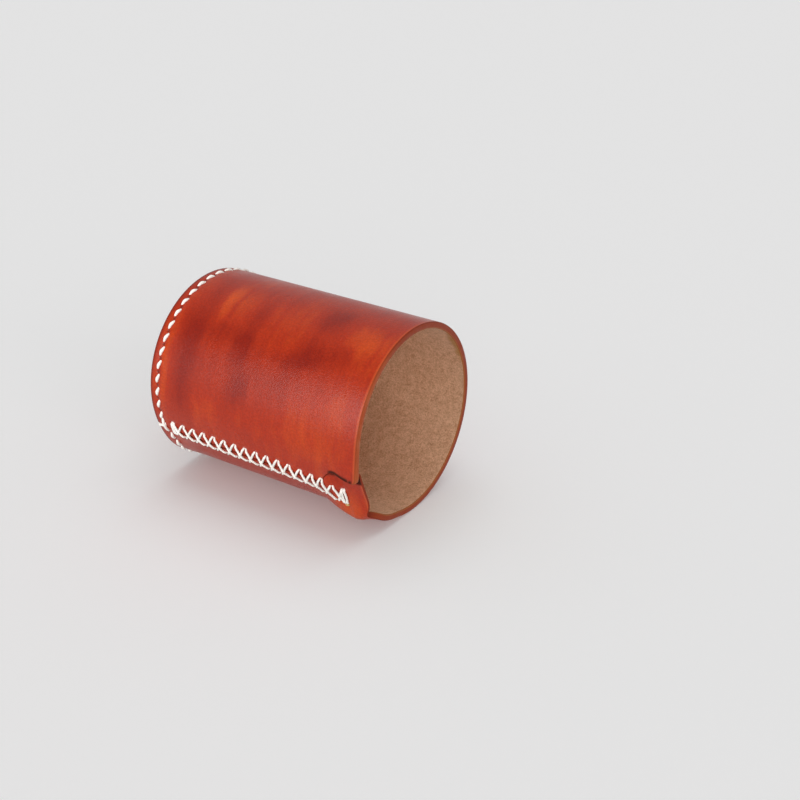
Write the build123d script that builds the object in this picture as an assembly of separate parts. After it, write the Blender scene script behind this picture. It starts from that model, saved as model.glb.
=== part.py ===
from build123d import *
import math
import os

# Pen holder of rolled leather: a wall sheet closed by a cross-laced butt seam, with
# a base disc stitched into its lower end. The cup stands on z = 0 with its mouth up
# and its seam at the front, towards -Y. Millimetres and degrees. Angles round the
# cup are counted from the front towards +X.

# Leather wall
outer_diameter = 89.0
height = 114.5
leather = 3.0

# Seam: the sheet stays flat beside its ends, so the two flanks meet in a low ridge
flank_angle = 13.5
seam_gap = 0.5
ridge_strip = 0.75

# Tongue: near the mouth the right end of the sheet grows past the seam and tucks
# behind the left end, which makes its fold swell out of the round wall
fold_height = 29.5
fold_angle = 25.0
fold_radius = 8.0
fold_spread = 5.0
swell_drop = 10.5
swell = 4.1
mouth_fold_angle = 17.0
mouth_swell = 3.5
tuck_reach = 11.3
tuck_depth = 4.0
swell_tuck_depth = 3.0

# Notch in the left end of the sheet, with a rounded corner at the mouth
notch_height = 17.0
notch_reach = 10.1
notch_radius = 4.6
notch_gap = 1.2
lip_reach = 9.4
corner_radius = 2.5
corner_spring_angle = 30.0

# Base disc, set up from the edge so that its stitches clear the desk
base_thickness = 3.0
base_recess = 1.4
base_fit = 0.1

# Seam lacing
lace_diameter = 1.2
lace_pitch = 6.05
first_lace = 10.5
lace_row = 5.3
lace_stagger = 2.1
lace_edge_margin = 2.2
tongue_laces = 2
tongue_lace_start = 2.3
tongue_lace_pitch = 4.6
tongue_lace_reach = 0.3

# Base stitching
stitch_diameter = 1.0
stitch_spacing = 6.35
stitch_height = 4.5
stitch_under_margin = 3.2
slit_slant = 30.0

# Thread in its slits and on the leather
slit_play = 0.3
thread_play = 0.1
thread_sides = 6

radius = outer_diameter / 2
bore_radius = radius - leather
ridge_radius = radius / math.cos(math.radians(flank_angle))
fold_z = height - fold_height
swell_z = height - swell_drop
notch_z = height - notch_height
lace_lift = lace_diameter / 2 + thread_play
lace_over = lace_lift + lace_diameter + thread_play
stitch_lift = stitch_diameter / 2 + thread_play


def polar(r, angle):
    return (r * math.sin(math.radians(angle)), -r * math.cos(math.radians(angle)))


def on_tangent(angle, x):
    """Point at x on the line that touches the outer circle at the angle."""
    turn = math.radians(angle)
    return (x, -(radius - x * math.sin(turn)) / math.cos(turn))


def between(a, b, share):
    return tuple(p + (q - p) * share for p, q in zip(a, b))


def outward(a, b):
    """Outward normal of a straight stretch of the section that runs towards -X."""
    dx, dy = b[0] - a[0], b[1] - a[1]
    length = math.hypot(dx, dy)
    return (-dy / length, dx / length)


def inset(points):
    """A section line that runs towards -X, moved in by the leather's thickness."""
    normals = [outward(a, b) for a, b in zip(points, points[1:])]
    moved = []
    for p, n, m in zip(points, normals[:1] + normals, normals + normals[-1:]):
        depth = leather / (1 + n[0] * m[0] + n[1] * m[1])
        moved.append((p[0] - depth * (n[0] + m[0]), p[1] - depth * (n[1] + m[1])))
    return moved


# Section line of the sheet's right end at four heights: from the round wall over the
# fold, a bend and the ridge to the tongue's reach. Below the notch its last stretch
# is the left flank too.
flat_angle = fold_angle + math.degrees(math.acos(radius / (radius + swell)))
flat_start = polar(radius, flat_angle)
flank_bend = polar(radius, flank_angle)
ridge = (0.0, -ridge_radius)
flank_reach = on_tangent(-flank_angle, -tuck_reach)
swell_share = (notch_z - fold_z) / (swell_z - fold_z)
rising_fold = polar(radius + swell * swell_share, fold_angle)


def folded(fold, depth):
    """The flat tongue from its fold to its reach, parted where the ridge runs out."""
    reach = (-tuck_reach, depth - radius)
    ridge_share = fold[0] / (fold[0] - reach[0])
    return [flat_start, fold, between(fold, reach, ridge_share / 2), between(fold, reach, ridge_share), reach]


right_lines = {
    fold_z: [flat_start, polar(radius, fold_angle), flank_bend, ridge, flank_reach],
    notch_z: [flat_start, rising_fold, between(rising_fold, ridge, 0.5), ridge, flank_reach],
    swell_z: folded(polar(radius + swell, fold_angle), swell_tuck_depth),
    height: folded(polar(radius + mouth_swell, mouth_fold_angle), tuck_depth),
}


def skin(x, z):
    """Point of the outer face beside the seam at x and z, and the outward direction there."""
    levels = sorted(right_lines)
    low, high = [pair for pair in zip(levels, levels[1:]) if pair[0] <= max(z, fold_z)][-1]
    share = max((z - low) / (high - low), 0)
    line = [between(p, q, share) for p, q in zip(right_lines[low], right_lines[high])]
    a, b = [pair for pair in zip(line, line[1:]) if pair[1][0] <= x][0]
    spot = between(a, b, (x - a[0]) / (b[0] - a[0]))
    return Vector(*spot, z), Vector(*outward(a, b), 0)


def arc(r, start, end):
    return ThreePointArc(polar(r, start), polar(r, (start + end) / 2), polar(r, end))


def arcs(r, angles):
    return [arc(r, start, end) for start, end in zip(angles, angles[1:])]


def strip_face(outer, inner, z):
    """Face at height z between the edges of an outer and of an inner section line."""
    ends = [Line(outer[0] @ 0, inner[0] @ 0), Line(outer[-1] @ 1, inner[-1] @ 1)]
    return Plane.XY.offset(z) * make_face(outer + inner + ends)


# Leather wall
def right_face(z):
    line = right_lines[z]
    if z == fold_z:
        angles = [flat_angle, fold_angle + fold_spread, fold_angle - fold_spread, flank_angle]
        inner = [polar(bore_radius, flank_angle)] + inset(line[2:])[1:]
        return strip_face(
            arcs(radius, angles) + [Polyline(*line[2:])],
            arcs(bore_radius, angles) + [Polyline(*inner)],
            z,
        )
    inner = [polar(bore_radius, flat_angle)] + inset(line)[1:]
    return strip_face(
        [FilletPolyline(*line[:3], radius=fold_radius), Polyline(*line[2:])],
        [FilletPolyline(*inner[:3], radius=fold_radius - leather), Polyline(*inner[2:])],
        z,
    )


def left_flank(z):
    """The plain left end of the sheet at height z."""
    outer = [left_end, polar(radius, -flank_angle)]
    inner = [inset(outer)[0], polar(bore_radius, -flank_angle)]
    angles = (-flank_angle, -corner_spring_angle)
    return strip_face([Line(*outer), arc(radius, *angles)], [Line(*inner), arc(bore_radius, *angles)], z)


def left_corner(z):
    """The left end at height z where it springs straight off the round wall."""
    tip = on_tangent(-corner_spring_angle, left_end[0])
    spring = polar(radius, -corner_spring_angle)
    outer = [tip, between(tip, spring, 0.5), spring]
    return strip_face([Polyline(*outer)], [Polyline(*inset(outer))], z)


def front_cut(outline):
    """Prism from the cup's axis out through the front, over an outline in x and z."""
    return extrude(Plane.XZ * make_face(outline), 2 * radius)


def notch():
    """What is cut from the left end so that the tongue shows beside its corner."""
    shoulder = (notch_radius - notch_reach, notch_z)
    side = (-notch_reach, notch_z + notch_radius)
    lip = (-lip_reach, height - corner_radius)
    crown = (-lip_reach - corner_radius, height)
    far = (radius, height + leather)
    return front_cut(
        [
            Line((far[0], notch_z), shoulder),
            RadiusArc(shoulder, side, notch_radius),
            Line(side, lip),
            RadiusArc(lip, crown, -corner_radius),
            Polyline(crown, (crown[0], far[1]), far, (far[0], notch_z)),
        ]
    )


def tongue_trim():
    """What is cut from the right end to leave the seam's gap and the tongue's edge."""
    root = (-ridge_strip, notch_z + notch_gap)
    shoulder = (notch_radius - notch_reach, root[1])
    side = (notch_gap - notch_reach, notch_z + notch_radius)
    tip = (-tuck_reach, height)
    far = (-radius, fold_z - leather)
    return front_cut(
        [
            Polyline(tip, (far[0], height), far, (root[0], far[1]), root, shoulder),
            RadiusArc(shoulder, side, notch_radius - notch_gap),
            Line(side, tip),
        ]
    )


def make_wall():
    right_end = on_tangent(-flank_angle, -ridge_strip)
    right_inner = inset([flank_bend, ridge, right_end])
    right_inner[0] = polar(bore_radius, flank_angle)
    round_angles = (flank_angle, 360 - corner_spring_angle)
    back_angles = (flat_angle, 360 - corner_spring_angle)
    right_side = strip_face(
        [Polyline(right_end, ridge, flank_bend), arc(radius, *round_angles)],
        [Polyline(*reversed(right_inner)), arc(bore_radius, *round_angles)],
        0,
    )
    back = strip_face([arc(radius, *back_angles)], [arc(bore_radius, *back_angles)], fold_z)
    tongue = loft([right_face(z) for z in sorted(right_lines)], ruled=True) - tongue_trim()
    corner = loft([left_flank(notch_z), left_corner(height)], ruled=True) - notch()
    tube = extrude(right_side, fold_z) + extrude(left_flank(0), notch_z)
    return tube + extrude(back, fold_height) + tongue + corner


# Thread
def flat_face(corners):
    return Face(Wire.make_polygon(corners))


def make_thread(points, diameter):
    """Thread of straight runs with a polygon for its section, mitred at every bend."""
    runs = [(b - a).normalized() for a, b in zip(points, points[1:])]
    start = Plane(points[0], z_dir=runs[0])
    ring = []
    for i in range(thread_sides):
        turn = 2 * math.pi * i / thread_sides
        ring.append(points[0] + (start.x_dir * math.cos(turn) + start.y_dir * math.sin(turn)) * (diameter / 2))
    rings = [ring]
    for point, run, onward in zip(points[1:], runs, runs[1:] + runs[-1:]):
        mitre = run + onward
        ring = [corner + run * ((point - corner).dot(mitre) / run.dot(mitre)) for corner in ring]
        rings.append(ring)
    faces = [flat_face(rings[0]), flat_face(rings[-1])]
    for low, high in zip(rings, rings[1:]):
        for i in range(thread_sides):
            faces.append(flat_face([low[i - 1], low[i], high[i], high[i - 1]]))
    return Solid(Shell(faces))


# Seam lacing
def lace_holes():
    """Pairs of holes up the seam, as x and z of the left and of the right hole."""
    reach = lace_row * math.cos(math.radians(flank_angle))
    count = 1 + int((notch_z - lace_edge_margin - first_lace) / lace_pitch)
    places = [(-reach, reach, first_lace + i * lace_pitch) for i in range(count)]
    for i in range(tongue_laces):
        z = notch_z + tongue_lace_start + i * tongue_lace_pitch
        places.append((-tongue_lace_reach, 2 * lace_row - tongue_lace_reach, z))
    return [((left, z), (right, z - lace_stagger)) for left, right, z in places]


def cut_lace_slits(body, pairs):
    slits = []
    for hole in [hole for pair in pairs for hole in pair]:
        point, normal = skin(*hole)
        place = Plane(point, x_dir=(0, 0, 1), z_dir=normal)
        slits.append(place * Box(2 * lace_diameter + 2 * slit_play, lace_diameter + slit_play, 4 * leather))
    return body - slits


def lace_through(hole, side, depth):
    """Where the thread on the upper (1) or lower (-1) side of a hole leaves it outside and inside."""
    x, z = hole
    point, normal = skin(x, z + side * (lace_diameter + slit_play) / 2)
    return point + normal * lace_lift, point - normal * (leather + depth)


def lace_leg(start, end, crest):
    """Points over the leather between two holes, lifted to the crest halfway."""
    points = []
    for share in (0.25, 0.5, 0.75):
        x, z = between(start, end, share)
        spot, normal = skin(x, z)
        facing = skin(x - lace_diameter, z)[1] + skin(x + lace_diameter, z)[1]
        lift = lace_lift + (crest - lace_lift) * (1 - abs(2 * share - 1))
        points.append(spot + facing.normalized() * lift)
    return points


def lace_stretch(start, start_side, end, end_side, crest, depth):
    """Out of one hole, over the leather and into another."""
    start_out, start_in = lace_through(start, start_side, depth)
    end_out, end_in = lace_through(end, end_side, depth)
    return [start_in, start_out, *lace_leg(start, end, crest), end_out, end_in]


def make_lacing(pairs):
    """Two threads that cross between the pairs of holes, from a first bar to a last one."""
    over = []
    under = lace_stretch(pairs[0][0], -1, pairs[0][1], -1, lace_lift, lace_lift)
    for (left, right), (next_left, next_right) in zip(pairs, pairs[1:]):
        over += lace_stretch(left, 1, next_right, -1, lace_over, lace_over)
        under += lace_stretch(right, 1, next_left, -1, lace_lift, lace_lift)
    over += lace_stretch(pairs[-1][0], 1, pairs[-1][1], 1, lace_lift, lace_over)
    return [make_thread(over, lace_diameter), make_thread(under, lace_diameter)]


# Base disc and its stitching
def make_base():
    return Pos(0, 0, base_recess) * extrude(Circle(bore_radius - base_fit), base_thickness)


def wall_radius(angle):
    """Radius of the outer face at an angle, with the flat flanks beside the seam."""
    return radius / math.cos(math.radians(max(flank_angle - abs(angle), 0)))


def stitch_holes():
    """Slits round the base: the outer and lower end of each and the direction it is long in."""
    count = 2 * round(math.pi * outer_diameter / stitch_spacing / 2)
    under_radius = bore_radius - base_fit - stitch_under_margin
    slant = math.radians(slit_slant)
    holes = []
    for i in range(count):
        angle = (i + 0.5) * 360 / count - 180
        outer = Vector(*polar(wall_radius(angle), angle), stitch_height)
        lower = Vector(*polar(under_radius, angle), base_recess)
        along = Vector(*polar(1, angle + 90), 0)
        rise = (outer - lower).normalized().cross(along)
        holes.append((outer, lower, along * math.cos(slant) + rise * math.sin(slant)))
    return holes


def cut_stitch_slits(body, holes):
    slits = []
    for outer, lower, slant in holes:
        place = Plane((outer + lower) / 2, x_dir=slant, z_dir=outer - lower)
        length = (outer - lower).length + 4 * stitch_diameter
        slits.append(place * Box(2 * stitch_diameter + 2 * slit_play, stitch_diameter + slit_play, length))
    return body - slits


def stitch_through(hole, side):
    """Where the thread on either side of a slit leaves it outside and under the base."""
    outer, lower, slant = hole
    axis = (outer - lower).normalized()
    facing = Vector(outer.X, outer.Y, 0).normalized()
    shift = slant * (side * (stitch_diameter + slit_play) / 2)
    outside = outer + shift + axis * ((stitch_lift - shift.dot(facing)) / axis.dot(facing))
    below = lower + shift - axis * ((stitch_lift + shift.Z) / axis.Z)
    return outside, below


def stitch_crown(start, end):
    """Top of a stitch between two holes, clear of the wall and of the ridge."""
    middle = (start + end) / 2
    angle = math.degrees(math.atan2(middle.X, -middle.Y))
    return Vector(*polar(wall_radius(angle) + stitch_lift + thread_play, angle), middle.Z)


def make_stitching(holes):
    """Two saddle-stitched threads, each outside the wall where the other runs under the base."""
    threads = []
    for first in (0, 1):
        turn = holes[first:] + holes[:first]
        points = []
        for up, down in zip(turn[0::2], turn[1::2]):
            up_out, up_below = stitch_through(up, 1)
            down_out, down_below = stitch_through(down, -1)
            points += [up_below, up_out, stitch_crown(up_out, down_out), down_out, down_below]
        threads.append(make_thread(points, stitch_diameter))
    return threads


left_end = on_tangent(-flank_angle, -ridge_strip - seam_gap)
laces = lace_holes()
stitches = stitch_holes()
parts = {
    "wall_sheet": [cut_stitch_slits(cut_lace_slits(make_wall(), laces), stitches)],
    "base_disc": [cut_stitch_slits(make_base(), stitches)],
    "seam_lacing": make_lacing(laces),
    "base_stitching": make_stitching(stitches),
}

# The frame's origin is under the middle of the whole cup, stitches and lacing included
front_reach = ridge_radius + lace_over + lace_diameter / 2
back_reach = radius + stitch_lift + thread_play + stitch_diameter / 2
to_frame = Pos(0, (front_reach - back_reach) / 2, 0)

os.makedirs("parts", exist_ok=True)
for name, solids in parts.items():
    node = Compound(children=[to_frame * solid for solid in solids])
    export_step(node, f"parts/{name}.step")
    print(name, len(node.solids()), "solids", round(node.volume, 1), "mm3")
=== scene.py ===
import math

import bmesh
import bpy
import numpy as np
from mathutils import Matrix, Vector


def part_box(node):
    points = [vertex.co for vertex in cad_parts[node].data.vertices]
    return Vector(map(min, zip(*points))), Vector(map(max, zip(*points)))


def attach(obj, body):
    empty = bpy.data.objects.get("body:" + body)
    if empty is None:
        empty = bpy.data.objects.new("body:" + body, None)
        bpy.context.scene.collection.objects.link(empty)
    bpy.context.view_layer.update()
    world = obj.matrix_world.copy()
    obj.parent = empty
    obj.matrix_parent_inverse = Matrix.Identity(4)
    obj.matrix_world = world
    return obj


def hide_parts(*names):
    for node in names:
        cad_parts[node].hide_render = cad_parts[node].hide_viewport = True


# Pen holder of rolled leather, dressed for looks. Lengths are in millimetres on the
# cup's own axis, with the seam at the front, towards -Y, and become metres in the
# frame only where a mesh is made or an object placed. Angles round the cup are degrees
# from the front towards +X.

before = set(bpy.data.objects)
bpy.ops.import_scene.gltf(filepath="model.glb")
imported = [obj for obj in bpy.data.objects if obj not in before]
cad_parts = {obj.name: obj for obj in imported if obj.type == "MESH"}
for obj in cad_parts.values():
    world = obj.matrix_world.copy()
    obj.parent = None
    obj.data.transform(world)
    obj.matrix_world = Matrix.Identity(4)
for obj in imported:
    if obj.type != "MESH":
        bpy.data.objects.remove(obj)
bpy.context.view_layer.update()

# Sizes from the frame
METRE = 0.001
wall_low, wall_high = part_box("wall_sheet")
disc_low, disc_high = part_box("base_disc")
radius = (wall_high.x - wall_low.x) / 2 / METRE
height = wall_high.z / METRE
disc_radius = (disc_high.x - disc_low.x) / 2 / METRE
disc_bottom = disc_low.z / METRE
disc_top = disc_high.z / METRE
axis_place = Vector((0, (disc_low.y + disc_high.y) / 2, 0))

# Leather sheet
leather = 3.0
edge_round = 0.5
edge_dome = 0.1
flank_angle = 13.5
ridge_softness = 0.7
inner_softness = 4.0
thread_softness = 2.0
ridge_start = 1.5
ridge_rise = 13.0
left_edge = -1.1
right_edge = -1.0

# Foot, which stands a little proud of the round right of the seam
foot_swell = 0.7
foot_middle = 17.0

# Tongue at the mouth, by height: its fold, its dip at the seam and how deep it tucks
fold_z = height - 29.5
notch_z = height - 17.0
fold_levels = (fold_z, notch_z, height - 10.5, height - 5.0, height)
fold_angles = (25.0, 25.0, 25.0, 22.5, 18.5)
swell_drops = (29.5, 24.5, 21.0, 14.3, 8.5, 5.0, 2.5, 0.0)
swell_levels = [height - drop for drop in swell_drops]
fold_swells = (0.0, 0.9, 2.3, 4.1, 5.1, 4.3, 2.7, 0.4)
swell_falls = (1.9, 1.3)
belly_height = 4.0
mouth_belly = 1.1
crest_dip = 1.8
crest_x = 16.5
crest_width = 4.5
ridge_rise_full = radius / math.cos(math.radians(flank_angle)) - radius
dip_depths = (-ridge_rise_full, -ridge_rise_full, 1.7, 2.1, 2.4)
tuck_reach = -11.3
tuck_depths = (1.45, 1.45, 3.0, 3.0, 3.0)
hollows = (-0.45, 0.0, 0.1, 0.2, 0.3)
flat_angle = 48.7
fold_softness = 1.4
corner_spring = 30.0
spring_start = height - 20.5
tongue_skive = 2.1

# Lacing up the seam, then over the tongue, as x and z of left and right holes
lace_thread = 1.15
lace_radius = lace_thread / 2
lace_pitch = 6.05
lace_count = 14
first_lace = 10.5
low_reach = (5.6, 1.1)
high_reach = (4.8, 3.4)
lace_stagger = -0.3
lace_drift = 1.7
drift_start = 9
first_right_hole = (0.9, 11.4)
hole_half = 0.45
lace_sink = 0.35
lace_press = 0.05
behind_shift = 0.6
bead_sizes = (0.75, 0.75, 1.05)
tongue_laces = (
    ((-3.0, height - 20.2), (6.7, height - 20.5)),
    ((-0.1, height - 15.6), (10.2, height - 15.2)),
    ((2.1, height - 11.3), (11.4, height - 11.3)),
)

# Saddle stitches round the base
stitch_count = 44
stitch_height = 4.4
stitch_turn = -1.9
stitch_length = 5.2
stitch_thread = 1.6
stitch_slant = math.radians(-18.0)
under_radius = disc_radius - 3.2
under_share = 0.92

# Climb of the stitch row right of the seam, and the angles where it is full, falls and ends
climb_height = 2.0
climb_proud = 0.3
climb_full = 7.0
climb_fall = 13.0
climb_end = 27.0

# How deep the thread pulls the leather in, and how far round the lacing's holes and the stitches
lace_dent = 0.42
lace_dent_reach = (0.9, 1.3)
stitch_dent = 0.16
stitch_dent_reach = 1.5


def smooth(share):
    share = np.clip(share, 0.0, 1.0)
    return share * share * (3.0 - 2.0 * share)


def unit(vectors):
    return vectors / np.linalg.norm(vectors, axis=-1, keepdims=True)


def in_frame(points):
    """Points of the cup in millimetres as metres in the frame."""
    return np.asarray(points) * METRE + np.array(axis_place)


def round_point(angle, reach, z):
    """Point at an angle round the cup, a reach from its axis and a height."""
    turn = math.radians(angle)
    return (reach * math.sin(turn), -reach * math.cos(turn), z)


# Outer face beside the seam: how far it stands in front of the axis, at x and z
def ridge_share(z):
    """How much of the ridge shows: none at the round base, all of it further up."""
    return smooth((z - ridge_start) / ridge_rise)


def foot_bulge(x, z):
    """How far the foot stands proud of the round, right of the seam."""
    return foot_swell * smooth(1 - np.abs(x - foot_middle) / foot_middle) * (1 - smooth((z - 1.0) / 13.0))


def plain_front(x, z, softness=ridge_softness):
    """The round wall with its flat flanks and the low ridge between them."""
    turn = math.radians(flank_angle)
    reach = np.sqrt(x * x + softness * softness)
    flank = (radius - reach * math.sin(turn)) / math.cos(turn)
    reach_out = radius + foot_bulge(x, z)
    rounded = np.sqrt(np.maximum(reach_out * reach_out - x * x, 0.0))
    flanked = np.where(np.abs(x) < radius * math.sin(turn), np.maximum(flank, rounded), rounded)
    return rounded + (flanked - rounded) * ridge_share(z)


def left_front(x, z, softness=ridge_softness):
    """The left end of the sheet, whose corner springs off the round wall at the mouth."""
    turn = math.radians(corner_spring)
    straight = (radius + x * math.sin(turn)) / math.cos(turn)
    plain = plain_front(x, z, softness)
    sprung = np.where(x > -radius * math.sin(turn), np.maximum(straight, plain), plain)
    share = np.clip((z - spring_start) / (height - spring_start), 0.0, 1.0) ** 1.3
    return plain + (sprung - plain) * share


TABLE_STEP = 0.2
TABLE_X = np.arange(-14.0, 40.0, TABLE_STEP)
TABLE_Z = np.linspace(fold_z - 6.0, height, 60)


def blur(rows, sigma):
    """Each row of heights over TABLE_X, softened by a bell curve of that width."""
    reach = int(4 * sigma / TABLE_STEP) + 1
    offsets = np.arange(-reach, reach + 1) * TABLE_STEP
    bell = np.exp(-0.5 * (offsets / sigma) ** 2)
    padded = np.pad(rows, ((0, 0), (reach, reach)), mode="reflect", reflect_type="odd")
    return np.stack([np.convolve(row, bell / bell.sum(), mode="valid") for row in padded])


def tongue_row(z):
    """Outer face of the right end at one height: tuck, dip and fold, then round to the wall."""
    eased = fold_z + (notch_z - fold_z) * smooth((z - fold_z) / (notch_z - fold_z))
    level = eased if z < notch_z else z
    by_height = (fold_angles, dip_depths, tuck_depths, hollows)
    angle, dip, tuck, hollow = [np.interp(level, fold_levels, values) for values in by_height]
    swell = np.interp(z, swell_levels, fold_swells)
    near_mouth = (height - belly_height, height)
    falling = np.interp(z, near_mouth, swell_falls)
    belly = np.interp(z, near_mouth, (0.0, mouth_belly))
    shares = np.linspace(0, 1, 24)
    turns = np.radians(angle + (flat_angle - angle) * shares)
    swollen = radius + swell * (1 - shares) ** falling + belly * np.sin(math.pi * shares)
    past_x, past_y = swollen * np.sin(turns), swollen * np.cos(turns)
    bend_y = radius - dip + (past_y[0] - radius + dip) / 2 - hollow
    line_x = np.concatenate([[tuck_reach, 0.0, past_x[0] / 2], past_x])
    line_y = np.concatenate([[radius - tuck, radius - dip, bend_y], past_y])
    row = np.interp(TABLE_X, line_x, line_y)
    slope = (line_y[1] - line_y[0]) / (line_x[1] - line_x[0])
    row = np.where(TABLE_X < tuck_reach, line_y[0] + slope * (TABLE_X - tuck_reach), row)
    plain = plain_front(TABLE_X, z)
    row = np.where(TABLE_X > past_x[-1], plain, row)
    return plain + (row - plain) * smooth((z - fold_z) / 5.0)


def tongue_table(ridge_blur):
    """Heights of the right end over TABLE_X and TABLE_Z, with a soft fold and ridge."""
    rows = np.array([tongue_row(z) for z in TABLE_Z])
    soft = blur(rows, fold_softness)
    crisp = blur(rows, ridge_blur)
    folded = smooth((TABLE_X - 5.0) / 6.0) * (1.0 - smooth((TABLE_X - 29.0) / 6.0))
    mixed = crisp + (soft - crisp) * folded
    for _ in range(2):
        mixed[1:-1] = (mixed[:-2] + 2 * mixed[1:-1] + mixed[2:]) / 4
    return mixed


tongue_heights = tongue_table(0.6)
tongue_soft_heights = tongue_table(2.5)


def right_front(x, z, softness=ridge_softness, heights=tongue_heights):
    """The right end of the sheet, with its fold and tongue above the plain flank."""
    column = np.clip((x - TABLE_X[0]) / (TABLE_X[1] - TABLE_X[0]), 0, len(TABLE_X) - 1.001)
    row = np.clip((z - TABLE_Z[0]) / (TABLE_Z[1] - TABLE_Z[0]), 0, len(TABLE_Z) - 1.001)
    i, j = column.astype(int), row.astype(int)
    u, v = column - i, row - j
    low = heights[j, i] * (1 - u) + heights[j, i + 1] * u
    high = heights[j + 1, i] * (1 - u) + heights[j + 1, i + 1] * u
    folded = low * (1 - v) + high * v
    share = smooth((z - fold_z + 4.0) / 6.0)
    return plain_front(x, z, softness) * (1 - share) + folded * share


def lace_holes():
    """Pairs of holes up the seam, as x and z of the left and of the right hole."""
    pairs = [((-low_reach[0], first_lace), first_right_hole)]
    for i in range(1, lace_count):
        z = first_lace + i * lace_pitch
        left, right = [np.interp(i, (0, drift_start), ends) for ends in zip(low_reach, high_reach)]
        drift = lace_drift * float(smooth((i - drift_start) / (lace_count - drift_start)))
        pairs.append(((drift - left, z), (right + drift, z - lace_stagger)))
    return pairs + list(tongue_laces)


laces = np.array(lace_holes())


def pulled_in(x, z):
    """How deep the lacing pulls the leather in at its holes."""
    wide, tall = lace_dent_reach
    depth = np.zeros_like(x)
    for hole_x, hole_z in laces.reshape(-1, 2):
        gap = ((x - hole_x) / wide) ** 2 + ((z - hole_z) / tall) ** 2
        depth = depth + lace_dent * np.exp(-gap)
    return depth


def stitch_groove(z):
    """How deep the base stitches pull the wall in, by height."""
    return stitch_dent * np.exp(-(((z - stitch_height) / stitch_dent_reach) ** 2))


def front_face(surface, x, z, *softened):
    """Points and outward directions of an outer face given by its height field."""
    step = 0.05
    depth = pulled_in(x, z) + stitch_groove(z)
    points = np.stack([x, depth - surface(x, z, *softened), z], -1)
    slope_x = (surface(x + step, z, *softened) - surface(x - step, z, *softened)) / (2 * step)
    slope_z = (surface(x, z + step, *softened) - surface(x, z - step, *softened)) / (2 * step)
    return points, unit(-np.stack([slope_x, np.ones_like(x), slope_z], -1))


# Outline of the sheet's two ends, as x and z
def rounded_path(corners):
    """Points along a line of corners, each given as x, z and how far its rounding reaches."""
    points = [np.array(corners[0][:2], float)]
    for (bx, bz, reach), before, after in zip(corners[1:-1], corners, corners[2:]):
        corner = np.array([bx, bz], float)
        back = np.array(before[:2], float) - corner
        onward = np.array(after[:2], float) - corner
        start = corner + back / np.linalg.norm(back) * reach
        end = corner + onward / np.linalg.norm(onward) * reach
        for t in np.linspace(0, 1, 24):
            points.append(start * (1 - t) ** 2 + corner * 2 * t * (1 - t) + end * t * t)
    points.append(np.array(corners[-1][:2], float))
    return np.array(points)


low_z = edge_round
high_z = height - edge_round
left_x = left_edge - edge_round
right_x = right_edge + edge_round
left_notch = (left_x, height - 20.6)
left_corner = (-7.6, height - 16.3)
left_outline = rounded_path(
    [
        (left_x - 0.7, low_z, 0),
        (left_x, low_z, 0.5),
        (*left_notch, 0.9),
        (*left_corner, 2.6),
        (-9.6, height - 12.4, 1.8),
        (-8.5, height - 7.4, 2.6),
        (-8.9, high_z, 1.9),
        (-11.9, high_z, 0),
    ]
)
right_notch = (right_x, height - 20.2)
right_corner = (-8.0, height - 13.2)
tongue_end = tuck_reach + edge_round
right_outline = rounded_path(
    [
        (right_x + 0.7, low_z, 0),
        (right_x, low_z, 0.5),
        (*right_notch, 0.6),
        (-6.3, height - 16.9, 2.2),
        (*right_corner, 1.4),
        (tongue_end, height - 8.5, 2.4),
        (tongue_end, high_z, 1.6),
        (tongue_end + 1.8, high_z, 0),
    ]
)


def row_heights():
    """Heights of the rows of the sheet, closer together near its edges and at the tongue."""
    gaps = [0.4, 0.4, 0.5, 0.6] + [0.8] * 105 + [0.5] * 53
    heights = low_z + np.concatenate([[0.0], np.cumsum(gaps)])
    return low_z + (heights - low_z) * (high_z - low_z) / (heights[-1] - low_z)


# Columns of the sheet: their steps, and where the two ends pass into the round back
fine_step = 0.45
coarse_step = 1.2
step_growth = 1.08
left_angle = 42.0
right_angle = 52.0


def column_shares(width, fine_width):
    """Shares across a block: fine steps for the first stretch, then growing ones."""
    places = [0.0]
    step = fine_step
    while places[-1] < width:
        places.append(places[-1] + step)
        if places[-1] > fine_width:
            step = min(step * step_growth, coarse_step)
    return np.array(places) / places[-1]


def end_block(outline, notch, corner, rows, end_x, shares):
    """Rows from an end's outline across to the round wall, as x and z of every point."""
    lengths = np.cumsum(np.linalg.norm(np.diff(outline, axis=0, prepend=outline[:1]), axis=1))
    turns = [lengths[np.argmin(np.abs(outline - turn).sum(1))] for turn in (notch, corner)]
    levels = (low_z, notch[1] - 0.5, corner[1] + 0.5, high_z)
    places = np.interp(rows, levels, (0.0, *turns, lengths[-1]))
    starts = np.stack([np.interp(places, lengths, outline[:, k]) for k in (0, 1)], -1)
    ends = np.stack([np.full_like(rows, end_x), rows], -1)
    grid = starts[:, None] + (ends - starts)[:, None] * shares[None, :, None]
    return grid[..., 0], grid[..., 1]


def crease_shade_nearness(x, z, reach, overlap):
    """Mask of painted shade by the left end: 1 near its outline, falling to 0 away from it, for heights
    above its corner.
    """
    edge_x, edge_z = left_outline.T
    gaps = np.hypot(x[..., None] - edge_x, z[..., None] - edge_z).min(-1)
    covered = overlap * (smooth((z - left_corner[1]) / 6.0) + 0.45 * smooth((z - height + 6.5) / 4.0))
    gaps = np.maximum(gaps - edge_round - covered, 0.0)
    return np.exp(-((gaps / reach) ** 2)) * smooth((z - left_corner[1] + 0.5) / 3.0)


def joined(right, back, left):
    """The right end, the round back and the left end side by side."""
    return np.concatenate([right, back, left[:, ::-1]], 1)


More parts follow.
